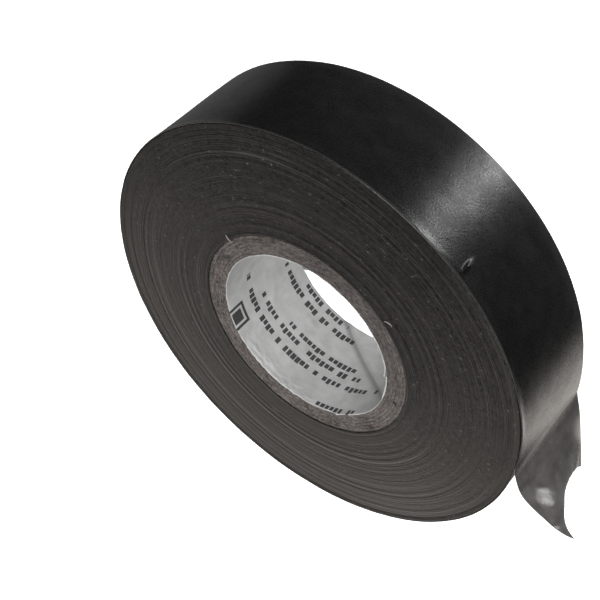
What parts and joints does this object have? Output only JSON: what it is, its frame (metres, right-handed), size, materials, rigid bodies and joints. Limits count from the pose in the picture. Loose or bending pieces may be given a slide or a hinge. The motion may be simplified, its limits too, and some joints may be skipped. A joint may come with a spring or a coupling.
{
  "type": "electrical tape roll",
  "caption": "Roll of black vinyl electrical tape on a paper-lined chipboard core, with a free torn tail that bends and peels off the roll.",
  "frame": {"origin": "on the roll's axis, in the face the roll rests on", "axes": "+Z along the roll's axis, up from the resting face; +X through the line where the free tail leaves the roll; the tail heads towards -Y"},
  "size_m": [0.0903, 0.0791, 0.019],
  "materials": {
    "pvc_tape": "satin",
    "adhesive": "glossy",
    "chipboard": "matte",
    "kraft_paper": "matte",
    "liner_paper": "satin"
  },
  "bodies": {
    "roll": {"core_liner": "liner_paper", "core_ply_1": "chipboard", "core_ply_2": "chipboard", "core_ply_3": "chipboard", "core_ply_4": "chipboard", "core_ply_5": "chipboard", "core_ply_6": "chipboard", "core_outer_wrap": "kraft_paper", "first_turn_adhesive": "adhesive", "first_turn_backing": "pvc_tape", "wound_turns": "pvc_tape", "outer_turn_adhesive": "adhesive", "outer_turn_backing": "pvc_tape"},
    "peel_strip_1": {"peel_strip_1_backing": "pvc_tape", "peel_strip_1_adhesive": "adhesive"},
    "peel_strip_2": {"peel_strip_2_backing": "pvc_tape", "peel_strip_2_adhesive": "adhesive"},
    "tail_root": {"tail_root_backing": "pvc_tape", "tail_root_adhesive": "adhesive"},
    "tail_tip": {"tail_tip_backing": "pvc_tape", "tail_tip_adhesive": "adhesive"}
  },
  "joints": [
    {"name": "peel_line_1", "type": "hinge", "parent": "roll", "child": "peel_strip_1", "pos_m": [0.01982, 0.03426, 0.0095], "axis": [0, 0, 1], "range_deg": [0, 45]},
    {"name": "peel_line_2", "type": "hinge", "parent": "peel_strip_1", "child": "peel_strip_2", "pos_m": [0.0343, 0.01978, 0.0095], "axis": [0, 0, 1], "range_deg": [0, 45]},
    {"name": "tail_bend", "type": "hinge", "parent": "peel_strip_2", "child": "tail_root", "pos_m": [0.0396, 0, 0.0095], "axis": [0, 0, 1], "range_deg": [-10, 75]},
    {"name": "tail_curl", "type": "hinge", "parent": "tail_root", "child": "tail_tip", "pos_m": [0.04307, -0.00767, 0.0093], "axis": [0.066, 0.0662, 0.9956], "range_deg": [-20, 50]}
  ]
}
